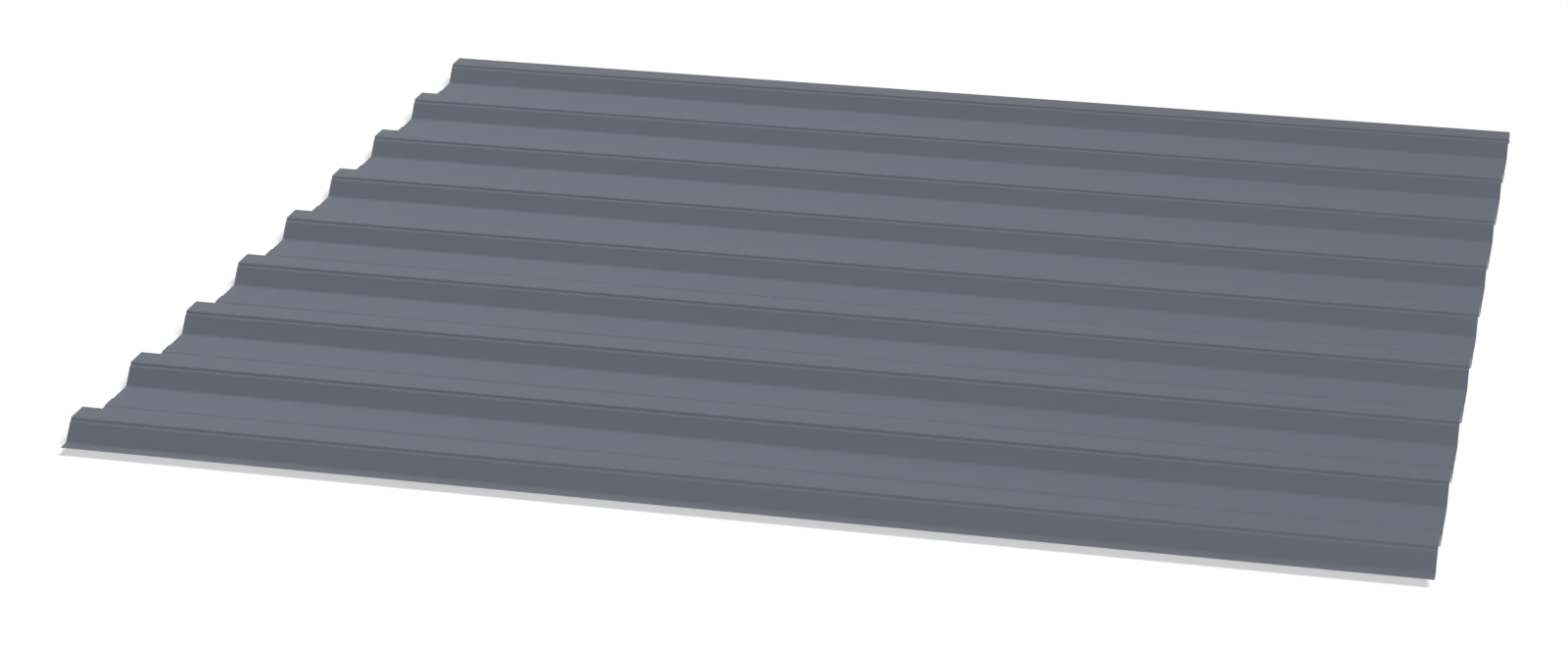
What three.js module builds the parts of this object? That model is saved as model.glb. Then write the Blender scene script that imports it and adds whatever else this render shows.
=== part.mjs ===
// Roll-formed trapezoidal sheet: thin coated steel with low ribs, a shoulder high on each web, one shallow
// swage along the middle of every pan and a narrow flat lip outside the first and the last rib.
// Millimetres. X runs along the ribs, Y across them and Z up. The origin is under the middle of the sheet,
// on the plane that the pans rest on.
import * as THREE from 'three';

// The sheet
const sheetLength = 1100;
const steelThickness = 0.5;
const ribCount = 9;
const ribPitch = 125;
const lipWidth = 10;

// A rib: a web, a shoulder, a steep crown side and the flat on top, the same on both sides.
// Heights are from one face of the steel to the same face, so they leave out its thickness.
const ribHeight = 17;
const topFlangeWidth = 23.2;
const webRun = 10.6;
const shoulderRun = 2.2;
const shoulderRise = 1.1;
const crownSideRun = 1;
const crownSideRise = 2.1;

// The swage that stiffens a pan: a flat on a ramp at each side
const swageTopWidth = 14.5;
const swageRampRun = 1.5;
const swageHeight = 1;

// Radii on the inside of the bends, and the number of flats that stand for each bend
const footBendRadius = 3;
const crownBendRadius = 1;
const swageBendRadius = 1;
const flatsPerBend = 4;

const ribWidth = topFlangeWidth + 2 * (webRun + shoulderRun + crownSideRun);
const swageWidth = swageTopWidth + 2 * swageRampRun;
const patternWidth = (ribCount - 1) * ribPitch + ribWidth;
const sheetWidth = patternWidth + 2 * lipWidth;

// A corner of the folded strip, on the middle line of the steel.
const corner = (across, up, bendRadius = 0) => ({ point: new THREE.Vector2(across, up), bendRadius });

// The other half of a shape that is the same on both sides of the line at half its width.
const mirrored = (corners, width) =>
  corners.map(({ point, bendRadius }) => corner(width - point.x, point.y, bendRadius)).reverse();

const shiftedBy = (distance) => ({ point, bendRadius }) => corner(point.x + distance, point.y, bendRadius);

function ribCorners() {
  const webTop = ribHeight - crownSideRise - shoulderRise;
  const side = [
    corner(0, 0, footBendRadius),
    corner(webRun, webTop, crownBendRadius),
    corner(webRun + shoulderRun, webTop + shoulderRise, crownBendRadius),
    corner(webRun + shoulderRun + crownSideRun, ribHeight, crownBendRadius),
  ];
  return [...side, ...mirrored(side, ribWidth)];
}

function swageCorners() {
  const side = [
    corner(0, 0, swageBendRadius),
    corner(swageRampRun, swageHeight, swageBendRadius),
  ];
  return [...side, ...mirrored(side, swageWidth)];
}

// Every corner across the sheet, from one cut edge to the other.
function sheetCorners() {
  const panWidth = ribPitch - ribWidth;
  const corners = [corner(0, 0)];
  for (let rib = 0; rib < ribCount; rib++) {
    const ribStart = lipWidth + rib * ribPitch;
    corners.push(...ribCorners().map(shiftedBy(ribStart)));
    if (rib < ribCount - 1) {
      const swageStart = ribStart + ribWidth + (panWidth - swageWidth) / 2;
      corners.push(...swageCorners().map(shiftedBy(swageStart)));
    }
  }
  corners.push(corner(sheetWidth, 0));
  return corners;
}

// The bend at one corner as the points of its arc, on the face of the steel that lies `offset` to the left
// of the middle line. The arc is held inside half of the shorter straight beside it.
function bendPoints(before, here, after, offset) {
  const into = here.point.clone().sub(before.point);
  const onward = after.point.clone().sub(here.point);
  const shorterStraight = Math.min(into.length(), onward.length());
  into.normalize();
  onward.normalize();

  const turnsLeft = into.cross(onward) > 0;
  const halfTurn = Math.acos(into.dot(onward)) / 2;
  const wantedRadius = here.bendRadius + steelThickness / 2;
  const radius = Math.min(wantedRadius, shorterStraight / 2 / Math.tan(halfTurn));

  const towardsCentre = new THREE.Vector2(-into.y, into.x).multiplyScalar(turnsLeft ? 1 : -1);
  const bendStart = here.point.clone().addScaledVector(into, -radius * Math.tan(halfTurn));
  const centre = bendStart.addScaledVector(towardsCentre, radius);

  const faceRadius = radius + (turnsLeft ? -offset : offset);
  const startAngle = towardsCentre.negate().angle();
  const endAngle = startAngle + (turnsLeft ? 2 : -2) * halfTurn;
  const arc = new THREE.ArcCurve(centre.x, centre.y, faceRadius, startAngle, endAngle, !turnsLeft);
  return arc.getPoints(flatsPerBend);
}

// One face of the folded strip, from the first cut edge to the last.
function facePoints(corners, offset) {
  const points = [corners[0].point.clone().add(new THREE.Vector2(0, offset))];
  for (let i = 1; i < corners.length - 1; i++) {
    points.push(...bendPoints(corners[i - 1], corners[i], corners[i + 1], offset));
  }
  points.push(corners.at(-1).point.clone().add(new THREE.Vector2(0, offset)));
  return points;
}

// The closed section of the sheet: along the upper face and back along the underside.
function sheetSection() {
  const corners = sheetCorners();
  const upperFace = facePoints(corners, steelThickness / 2);
  const underside = facePoints(corners, -steelThickness / 2).reverse();
  return new THREE.Shape([...upperFace, ...underside]);
}

function profiledSheet() {
  const geometry = new THREE.ExtrudeGeometry(sheetSection(), { depth: sheetLength, bevelEnabled: false });
  const coatedSteel = new THREE.MeshStandardMaterial({ color: '#6f727d', roughness: 0.7, metalness: 0 });
  const sheet = new THREE.Mesh(geometry, coatedSteel);
  sheet.name = 'profiled_sheet';

  // The section is drawn in X and Y and pulled along Z: it stands up across Y and runs along X.
  const across = new THREE.Vector3(0, 1, 0);
  const up = new THREE.Vector3(0, 0, 1);
  const along = new THREE.Vector3(1, 0, 0);
  sheet.setRotationFromMatrix(new THREE.Matrix4().makeBasis(across, up, along));
  sheet.position.set(-sheetLength / 2, -sheetWidth / 2, steelThickness / 2);
  return sheet;
}

const group = new THREE.Group();
group.add(profiledSheet());

export default group;
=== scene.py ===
import math

import bpy
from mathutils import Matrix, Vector


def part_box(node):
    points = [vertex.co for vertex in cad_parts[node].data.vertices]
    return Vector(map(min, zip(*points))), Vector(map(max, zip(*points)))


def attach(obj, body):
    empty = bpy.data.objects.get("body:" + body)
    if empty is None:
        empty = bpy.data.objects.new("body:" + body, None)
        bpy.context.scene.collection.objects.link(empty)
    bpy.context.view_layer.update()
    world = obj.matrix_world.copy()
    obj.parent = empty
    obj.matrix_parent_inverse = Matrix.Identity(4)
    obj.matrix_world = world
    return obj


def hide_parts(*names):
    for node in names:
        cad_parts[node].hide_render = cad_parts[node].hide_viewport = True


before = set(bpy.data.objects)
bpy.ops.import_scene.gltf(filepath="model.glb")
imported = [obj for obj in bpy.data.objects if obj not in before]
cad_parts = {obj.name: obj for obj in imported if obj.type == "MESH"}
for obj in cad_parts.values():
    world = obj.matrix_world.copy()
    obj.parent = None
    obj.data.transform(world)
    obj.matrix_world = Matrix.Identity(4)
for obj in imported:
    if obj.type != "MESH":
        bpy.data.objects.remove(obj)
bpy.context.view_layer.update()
nodeName = "profiled_sheet"
boxLow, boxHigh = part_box(nodeName)
mm = 0.001


def fillInputs(tree, node, inputs):
    # inputs maps an input's name or number to a socket, a list of sockets or a plain value
    for name, value in inputs.items():
        for item in value if isinstance(value, list) else [value]:
            if isinstance(item, bpy.types.NodeSocket):
                tree.links.new(item, node.inputs[name])
            else:
                node.inputs[name].default_value = item


def addNode(tree, kind, inputs=None, **settings):
    node = tree.nodes.new(kind)
    for name, value in settings.items():
        setattr(node, name, value)
    fillInputs(tree, node, inputs or {})
    return node


def linearColour(hexCode):
    # sRGB hex to the linear values that the shaders take
    channels = [int(hexCode[i:i + 2], 16) / 255 for i in (1, 3, 5)]
    return (*[c / 12.92 if c <= 0.04045 else ((c + 0.055) / 1.055) ** 2.4 for c in channels], 1.0)


def newMaterial(name):
    material = bpy.data.materials.new(name)
    material.use_nodes = True
    material.node_tree.nodes.clear()
    return material, material.node_tree


topCoat = {
    "colour": "#646871",        # slate grey
    "mottleColour": "#686c76",  # where the film lies a little thicker
    "roughness": 0.75,
    "roughnessSpread": 0.04,
    "ior": 1.5,
    "specular": 0.1,
    "mottleSize": 60 * mm,
    "mottleDetail": 4,
    "mottleShare": 0.5,         # the rest of the film's unevenness is the streaks
    "streakLength": 400 * mm,   # the coater leaves faint streaks along the coil
    "streakWidth": 9 * mm,
    "streakDetail": 3,
    "peelSize": 2.2 * mm,       # orange peel; the real one is under 1 mm and wouldn't show
    "peelDetail": 1,
    "peelDepth": 0.004 * mm,
}


def polyesterTopCoat():
    # Matt polyester paint, rolled on and oven cured on the flat coil: an even film with so soft a sheen that
    # the faces differ by their slope alone. The coater's streaks and the orange peel only just show.
    material, tree = newMaterial("matt_polyester_coil_coat")
    place = addNode(tree, "ShaderNodeTexCoord").outputs["Object"]
    streakScale = (1 / topCoat["streakLength"], 1 / topCoat["streakWidth"], 1 / topCoat["streakWidth"])
    along = addNode(tree, "ShaderNodeMapping", {"Vector": place, "Scale": streakScale})
    streaks = addNode(tree, "ShaderNodeTexNoise", {
        "Vector": along.outputs[0], "Scale": 1.0, "Detail": topCoat["streakDetail"]})
    mottle = addNode(tree, "ShaderNodeTexNoise", {
        "Vector": place, "Scale": 1 / topCoat["mottleSize"], "Detail": topCoat["mottleDetail"]})
    film = addNode(tree, "ShaderNodeMix", {
        "Factor": topCoat["mottleShare"], 2: streaks.outputs["Fac"], 3: mottle.outputs["Fac"]},
        data_type="FLOAT")
    colour = addNode(tree, "ShaderNodeMix", {
        "Factor": film.outputs[0], 6: linearColour(topCoat["colour"]),
        7: linearColour(topCoat["mottleColour"])}, data_type="RGBA")
    gloss = addNode(tree, "ShaderNodeMapRange", {
        "Value": film.outputs[0], "To Min": topCoat["roughness"] - topCoat["roughnessSpread"],
        "To Max": topCoat["roughness"] + topCoat["roughnessSpread"]})
    peel = addNode(tree, "ShaderNodeTexNoise", {
        "Vector": place, "Scale": 1 / topCoat["peelSize"], "Detail": topCoat["peelDetail"]})
    bump = addNode(tree, "ShaderNodeBump", {
        "Height": peel.outputs["Fac"], "Strength": 1.0, "Distance": topCoat["peelDepth"]})
    paint = addNode(tree, "ShaderNodeBsdfPrincipled", {
        "Base Color": colour.outputs[2], "Roughness": gloss.outputs[0], "IOR": topCoat["ior"],
        "Specular IOR Level": topCoat["specular"], "Normal": bump.outputs[0]})
    addNode(tree, "ShaderNodeOutputMaterial", {"Surface": paint.outputs[0]})
    return material


backCoat = {
    "colour": "#85878a",
    "thinColour": "#7c7e81",    # where the zinc grins through
    "roughness": 0.55,
    "ior": 1.5,
    "patchSize": 14 * mm,
    "patchDetail": 5,
}


def epoxyBackCoat():
    # The thin backing coat: plain light grey epoxy, flatter and less even than the face.
    material, tree = newMaterial("grey_epoxy_backing_coat")
    place = addNode(tree, "ShaderNodeTexCoord").outputs["Object"]
    patches = addNode(tree, "ShaderNodeTexNoise", {
        "Vector": place, "Scale": 1 / backCoat["patchSize"], "Detail": backCoat["patchDetail"]})
    colour = addNode(tree, "ShaderNodeMix", {
        "Factor": patches.outputs["Fac"], 6: linearColour(backCoat["colour"]),
        7: linearColour(backCoat["thinColour"])}, data_type="RGBA")
    paint = addNode(tree, "ShaderNodeBsdfPrincipled", {
        "Base Color": colour.outputs[2], "Roughness": backCoat["roughness"], "IOR": backCoat["ior"]})
    addNode(tree, "ShaderNodeOutputMaterial", {"Surface": paint.outputs[0]})
    return material


cutEdge = {
    "colour": "#8d8e90",
    "dullColour": "#77787b",
    "roughness": 0.4,
    "grainSize": 0.6 * mm,
    "grainDetail": 2,
}


def shearedSteelEdge():
    # Bare steel where the sheet was slit and sheared: dull grey metal with a short grain.
    material, tree = newMaterial("sheared_steel_edge")
    place = addNode(tree, "ShaderNodeTexCoord").outputs["Object"]
    grain = addNode(tree, "ShaderNodeTexNoise", {
        "Vector": place, "Scale": 1 / cutEdge["grainSize"], "Detail": cutEdge["grainDetail"]})
    colour = addNode(tree, "ShaderNodeMix", {
        "Factor": grain.outputs["Fac"], 6: linearColour(cutEdge["colour"]),
        7: linearColour(cutEdge["dullColour"])}, data_type="RGBA")
    steel = addNode(tree, "ShaderNodeBsdfPrincipled", {
        "Base Color": colour.outputs[2], "Metallic": 1.0, "Roughness": cutEdge["roughness"]})
    addNode(tree, "ShaderNodeOutputMaterial", {"Surface": steel.outputs[0]})
    return material


sheet = {
    "Rib Count": 9,
    "Rib Pitch": 125 * mm,
    "Top Flange Width": 23.2 * mm,
    "Web Run": 10.6 * mm,
    "Shoulder Run": 2.2 * mm,
    "Shoulder Rise": 1.1 * mm,
    "Crown Side Run": 1 * mm,
    "Crown Side Rise": 2.1 * mm,
    "Swage Top Width": 14.5 * mm,
    "Swage Ramp Run": 1.5 * mm,
    "Swage Height": 1 * mm,
    "Steel Thickness": 0.5 * mm,
    "Foot Radius": 3 * mm,      # the radii are those inside the bends
    "Crown Radius": 1 * mm,
    "Swage Radius": 1 * mm,
    "Flats Per Bend": 8,
}
weldDistance = 0.001 * mm
sharpFrom = math.radians(40)    # the cut edges are sharp and the flats of a bend are shaded as one


def foldCorners(tree, size, flat, runs, heights, radii):
    # The corners of a fold, on the middle line of the steel and on both sides of the fold's centre: first
    # the end of its flat top, then one after each run outwards. A point's radius is that of the bend there.
    halfFlat = addNode(tree, "ShaderNodeMath", {0: flat, 1: 0.5}, operation="MULTIPLY").outputs[0]
    index = addNode(tree, "GeometryNodeInputIndex").outputs[0]
    fields = []
    for values in ([halfFlat, *runs], heights, radii):
        pick = addNode(tree, "GeometryNodeIndexSwitch", data_type="FLOAT")
        while len(pick.index_switch_items) < len(values):
            pick.index_switch_items.new()
        fillInputs(tree, pick, {"Index": index} | dict(enumerate(values, 1)))
        fields.append(pick.outputs[0])
    run, height, insideRadius = fields
    across = addNode(tree, "GeometryNodeAccumulateField", {"Value": run}, data_type="FLOAT")
    place = addNode(tree, "ShaderNodeCombineXYZ", {"Y": across.outputs["Leading"], "Z": height})
    bend = addNode(tree, "ShaderNodeMath", {
        0: size["Steel Thickness"], 1: 0.5, 2: insideRadius}, operation="MULTIPLY_ADD")
    points = addNode(tree, "GeometryNodePoints", {"Count": len(heights)})
    placed = addNode(tree, "GeometryNodeSetPosition", {0: points.outputs[0], "Position": place.outputs[0]})
    sized = addNode(tree, "GeometryNodeSetPointRadius", {0: placed.outputs[0], "Radius": bend.outputs[0]})
    mirrored = addNode(tree, "GeometryNodeTransform", {0: sized.outputs[0], "Scale": (1, -1, 1)})
    return addNode(tree, "GeometryNodeJoinGeometry", {0: [sized.outputs[0], mirrored.outputs[0]]}).outputs[0]


def ribCorners(tree, size):
    shoulderTop = addNode(tree, "ShaderNodeMath", {
        0: size["Rib Height"], 1: size["Crown Side Rise"]}, operation="SUBTRACT").outputs[0]
    webTop = addNode(tree, "ShaderNodeMath", {
        0: shoulderTop, 1: size["Shoulder Rise"]}, operation="SUBTRACT").outputs[0]
    return foldCorners(
        tree, size, size["Top Flange Width"],
        [size["Crown Side Run"], size["Shoulder Run"], size["Web Run"]],
        [size["Rib Height"], shoulderTop, webTop, 0.0],
        [size["Crown Radius"], size["Crown Radius"], size["Crown Radius"], size["Foot Radius"]])


def swageCorners(tree, size):
    return foldCorners(
        tree, size, size["Swage Top Width"], [size["Swage Ramp Run"]], [size["Swage Height"], 0.0],
        [size["Swage Radius"], size["Swage Radius"]])


def sheetCorners(tree, size):
    # a rib at every pitch, a swage in every gap between two ribs, and the two long edges
    gaps = addNode(tree, "ShaderNodeMath", {0: size["Rib Count"], 1: 1.0}, operation="SUBTRACT").outputs[0]
    step = addNode(tree, "ShaderNodeCombineXYZ", {"Y": size["Rib Pitch"]}).outputs[0]
    parts = [foldCorners(tree, size, size["Sheet Width"], [], [0.0], [0.0])]
    for corners, count in ((ribCorners(tree, size), size["Rib Count"]), (swageCorners(tree, size), gaps)):
        # a row of them, with its middle at the middle of the sheet
        firstStep = addNode(tree, "ShaderNodeMath", {0: count, 1: -0.5, 2: 0.5}, operation="MULTIPLY_ADD")
        first = addNode(tree, "ShaderNodeVectorMath", {
            0: step, "Scale": firstStep.outputs[0]}, operation="SCALE")
        row = addNode(tree, "GeometryNodeMeshLine", {
            "Count": count, "Start Location": first.outputs[0], "Offset": step}, mode="OFFSET")
        copies = addNode(tree, "GeometryNodeInstanceOnPoints", {
            "Points": row.outputs[0], "Instance": corners})
        parts.append(addNode(tree, "GeometryNodeRealizeInstances", {0: copies.outputs[0]}).outputs[0])
    return addNode(tree, "GeometryNodeJoinGeometry", {0: parts}).outputs[0]


def middleFace(tree, size, corners):
    # the corners in order across the sheet, folded round their radii and pulled out along X
    spot = addNode(tree, "GeometryNodeInputPosition").outputs[0]
    across = addNode(tree, "ShaderNodeSeparateXYZ", {0: spot}).outputs["Y"]
    line = addNode(tree, "GeometryNodePointsToCurves", {0: corners, "Weight": across})
    bends = addNode(tree, "GeometryNodeInputRadius").outputs[0]
    section = addNode(tree, "GeometryNodeFilletCurve", {
        "Curve": line.outputs[0], "Radius": bends, "Limit Radius": True,
        "Count": size["Flats Per Bend"]}, mode="POLY")
    startX = addNode(tree, "ShaderNodeMath", {0: size["Sheet Length"], 1: -0.5}, operation="MULTIPLY")
    halfSteel = addNode(tree, "ShaderNodeMath", {0: size["Steel Thickness"], 1: 0.5}, operation="MULTIPLY")
    endPlace = addNode(tree, "ShaderNodeCombineXYZ", {"X": startX.outputs[0], "Z": halfSteel.outputs[0]})
    placed = addNode(tree, "GeometryNodeTransform", {
        0: section.outputs[0], "Translation": endPlace.outputs[0]})
    wire = addNode(tree, "GeometryNodeCurveToMesh", {0: placed.outputs[0]})
    pull = addNode(tree, "ShaderNodeCombineXYZ", {"X": size["Sheet Length"]})
    return addNode(tree, "GeometryNodeExtrudeMesh", {
        0: wire.outputs[0], "Offset": pull.outputs[0], "Offset Scale": 1.0}, mode="EDGES").outputs[0]


def steelAround(tree, size, middle):
    # half the steel on each side of the middle face, and which of its faces are on top and on a cut edge
    normal = addNode(tree, "GeometryNodeInputNormal").outputs[0]
    down = addNode(tree, "ShaderNodeMath", {0: size["Steel Thickness"], 1: -0.5}, operation="MULTIPLY")
    drop = addNode(tree, "ShaderNodeVectorMath", {0: normal, "Scale": down.outputs[0]}, operation="SCALE")
    underFace = addNode(tree, "GeometryNodeSetPosition", {0: middle, "Offset": drop.outputs[0]})
    solid = addNode(tree, "GeometryNodeExtrudeMesh", {
        0: underFace.outputs[0], "Offset Scale": size["Steel Thickness"], "Individual": False}, mode="FACES")
    turned = addNode(tree, "GeometryNodeFlipFaces", {0: underFace.outputs[0]})
    whole = addNode(tree, "GeometryNodeJoinGeometry", {0: [solid.outputs[0], turned.outputs[0]]})
    welded = addNode(tree, "GeometryNodeMergeByDistance", {0: whole.outputs[0], "Distance": weldDistance})
    angle = addNode(tree, "GeometryNodeInputMeshEdgeAngle").outputs[0]
    sharp = addNode(tree, "ShaderNodeMath", {0: angle, 1: sharpFrom}, operation="GREATER_THAN")
    shaded = addNode(tree, "GeometryNodeSetShadeSmooth", {
        0: welded.outputs[0], "Selection": sharp.outputs[0], "Shade Smooth": False}, domain="EDGE")
    return shaded.outputs[0], solid.outputs["Top"], solid.outputs["Side"]


def sheetTree(materials):
    tree = bpy.data.node_groups.new("folded sheet", "GeometryNodeTree")
    tree.is_modifier = True
    tree.interface.new_socket("Geometry", in_out="INPUT", socket_type="NodeSocketGeometry")
    tree.interface.new_socket("Geometry", in_out="OUTPUT", socket_type="NodeSocketGeometry")
    for name, value in sheetInputs().items():
        kind = "NodeSocketInt" if isinstance(value, int) else "NodeSocketFloat"
        tree.interface.new_socket(name, in_out="INPUT", socket_type=kind)
    size = addNode(tree, "NodeGroupInput").outputs
    middle = middleFace(tree, size, sheetCorners(tree, size))
    steel, onTop, onCutEdge = steelAround(tree, size, middle)
    real = addNode(tree, "GeometryNodeRealizeInstances", {0: steel})
    backed = addNode(tree, "GeometryNodeSetMaterial", {0: real.outputs[0], "Material": materials["back"]})
    painted = addNode(tree, "GeometryNodeSetMaterial", {
        0: backed.outputs[0], "Selection": onTop, "Material": materials["top"]})
    edged = addNode(tree, "GeometryNodeSetMaterial", {
        0: painted.outputs[0], "Selection": onCutEdge, "Material": materials["edge"]})
    addNode(tree, "NodeGroupOutput", {0: edged.outputs[0]})
    return tree


def sheetInputs():
    # the sizes in the dictionary, and those that the frame's box gives
    boxSize = boxHigh - boxLow
    return sheet | {
        "Sheet Length": boxSize.x,
        "Sheet Width": boxSize.y,
        "Rib Height": boxSize.z - sheet["Steel Thickness"],
    }


def makeSheet():
    materials = {"top": polyesterTopCoat(), "back": epoxyBackCoat(), "edge": shearedSteelEdge()}
    print("finishes:", ", ".join(material.name for material in materials.values()))
    piece = bpy.data.objects.new("folded_sheet", bpy.data.meshes.new("folded_sheet"))
    bpy.context.scene.collection.objects.link(piece)
    tree = sheetTree(materials)
    modifier = piece.modifiers.new("fold", "NODES")
    modifier.node_group = tree
    identifiers = {
        item.name: item.identifier for item in tree.interface.items_tree if item.in_out == "INPUT"}
    for name, value in sheetInputs().items():
        modifier[identifiers[name]] = value
    weighted = piece.modifiers.new("flat faces", "WEIGHTED_NORMAL")
    weighted.keep_sharp = True
    evaluated = piece.evaluated_get(bpy.context.evaluated_depsgraph_get())
    folded = bpy.data.meshes.new_from_object(evaluated)
    folded.materials.pop(index=0)  # the empty slot of the curve
    piece.modifiers.clear()
    piece.data = folded
    print("sheet:", len(folded.polygons), "faces")
    return piece


foldedSheet = makeSheet()
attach(foldedSheet, "root")
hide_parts(nodeName)


# Azimuths are in degrees round from +Y, the far side, towards -X, the left. Elevations are above the floor.
# Powers are in watts and the sun's strength in watts for each square metre. Its angle is how wide it looks.
studio = {
    "floorGap": 8.6 * mm,       # the floor is drawn this far below the sheet
    "floorSize": 80.0,
    "floorColour": "#fbfbfb",
    "shadowLevel": 0.562,       # how bright the floor stays where the sun is hidden
    "sun": {"azimuth": 228.8, "elevation": 54.7, "angle": 19.0, "strength": 1.777},
    "lamps": {
        "backLeft": {"azimuth": 65, "elevation": 45, "distance": 5.0, "size": (5.0, 1.8), "power": 184},
        "front": {"azimuth": 180, "elevation": 35, "distance": 5.0, "size": (2.4, 1.8), "power": 38},
        "right": {"azimuth": 240, "elevation": 20, "distance": 3.5, "size": (1.8, 1.4), "power": 22},
        "below": {"azimuth": 180, "elevation": -90, "distance": 5.0, "size": (4.0, 4.0), "power": 240,
                  "bounces": 0},  # none of its light goes on to the floor
    },
}


def direction(azimuth, elevation):
    turn, rise = math.radians(azimuth), math.radians(elevation)
    return Vector((-math.sin(turn) * math.cos(rise), math.cos(turn) * math.cos(rise), math.sin(rise)))


def seenDirectly(tree):
    # 1 for what the camera sees, by itself, in a reflection or through glass
    rays = addNode(tree, "ShaderNodeLightPath").outputs
    either = addNode(tree, "ShaderNodeMath", {
        0: rays["Is Camera Ray"], 1: rays["Is Glossy Ray"]}, operation="MAXIMUM")
    return addNode(tree, "ShaderNodeMath", {
        0: either.outputs[0], 1: rays["Is Transmission Ray"]}, operation="MAXIMUM").outputs[0]


def makeFloor():
    # White paper that keeps a light shadow. It can be seen through from below.
    half, level = studio["floorSize"] / 2, boxLow.z - studio["floorGap"]
    corners = [(-half, -half, level), (half, -half, level), (half, half, level), (-half, half, level)]
    data = bpy.data.meshes.new("floor")
    data.from_pydata(corners, [], [(0, 1, 2, 3)])
    floor = bpy.data.objects.new("floor", data)
    floor.visible_shadow = False
    bpy.context.scene.collection.objects.link(floor)
    material, tree = newMaterial("white_paper_floor")
    paper = addNode(tree, "ShaderNodeBsdfDiffuse", {"Color": linearColour(studio["floorColour"])})
    lift = addNode(tree, "ShaderNodeMath", {
        0: seenDirectly(tree), 1: studio["shadowLevel"]}, operation="MULTIPLY")
    glow = addNode(tree, "ShaderNodeEmission", {"Strength": lift.outputs[0]})
    lit = addNode(tree, "ShaderNodeAddShader", {0: paper.outputs[0], 1: glow.outputs[0]})
    clear = addNode(tree, "ShaderNodeBsdfTransparent", {"Color": linearColour("#ffffff")})
    behind = addNode(tree, "ShaderNodeNewGeometry").outputs["Backfacing"]
    oneSided = addNode(tree, "ShaderNodeMixShader", {0: behind, 1: lit.outputs[0], 2: clear.outputs[0]})
    addNode(tree, "ShaderNodeOutputMaterial", {"Surface": oneSided.outputs[0]})
    data.materials.append(material)


def makeSun():
    data = bpy.data.lights.new("sun", "SUN")
    data.energy = studio["sun"]["strength"]
    data.angle = math.radians(studio["sun"]["angle"])
    sun = bpy.data.objects.new("sun", data)
    towards = direction(studio["sun"]["azimuth"], studio["sun"]["elevation"])
    sun.rotation_euler = towards.to_track_quat("Z", "Y").to_euler()
    bpy.context.scene.collection.objects.link(sun)


def makeLamps():
    # softboxes that light the sheet and leave the floor to the sun, so that it has one shadow
    lit = bpy.data.collections.new("lit by the softboxes")
    lit.objects.link(foldedSheet)
    for name, lamp in studio["lamps"].items():
        data = bpy.data.lights.new(name, "AREA")
        data.shape = "RECTANGLE"
        data.size, data.size_y = lamp["size"]
        data.energy = lamp["power"]
        data.cycles.max_bounces = lamp.get("bounces", data.cycles.max_bounces)
        softbox = bpy.data.objects.new(name, data)
        towards = direction(lamp["azimuth"], lamp["elevation"])
        softbox.location = towards * lamp["distance"]
        softbox.rotation_euler = towards.to_track_quat("Z", "Y").to_euler()
        softbox.visible_camera = False
        softbox.light_linking.receiver_collection = lit
        bpy.context.scene.collection.objects.link(softbox)


def makeWorld():
    world = bpy.data.worlds.new("white studio")
    world.use_nodes = True
    tree = world.node_tree
    tree.nodes.clear()
    white = addNode(tree, "ShaderNodeBackground", {
        "Color": linearColour("#ffffff"), "Strength": seenDirectly(tree)})
    addNode(tree, "ShaderNodeOutputWorld", {"Surface": white.outputs[0]})
    bpy.context.scene.world = world


camera = {
    "aim": (-0.0449, -0.1277, 0.0),
    "azimuth": 193.266,
    "elevation": 21.077,
    "distance": 3.2756,
    "lens": 85.487,     # mm
}


def makeCamera():
    data = bpy.data.cameras.new("camera")
    data.lens = camera["lens"]
    eye = bpy.data.objects.new("camera", data)
    towards = direction(camera["azimuth"], camera["elevation"])
    eye.location = Vector(camera["aim"]) + towards * camera["distance"]
    eye.rotation_euler = towards.to_track_quat("Z", "Y").to_euler()
    bpy.context.scene.collection.objects.link(eye)
    bpy.context.scene.camera = eye


makeFloor()
makeSun()
makeLamps()
makeWorld()
makeCamera()
bpy.context.scene.view_settings.view_transform = "Standard"
print("studio:", len(studio["lamps"]) + 1, "lights")
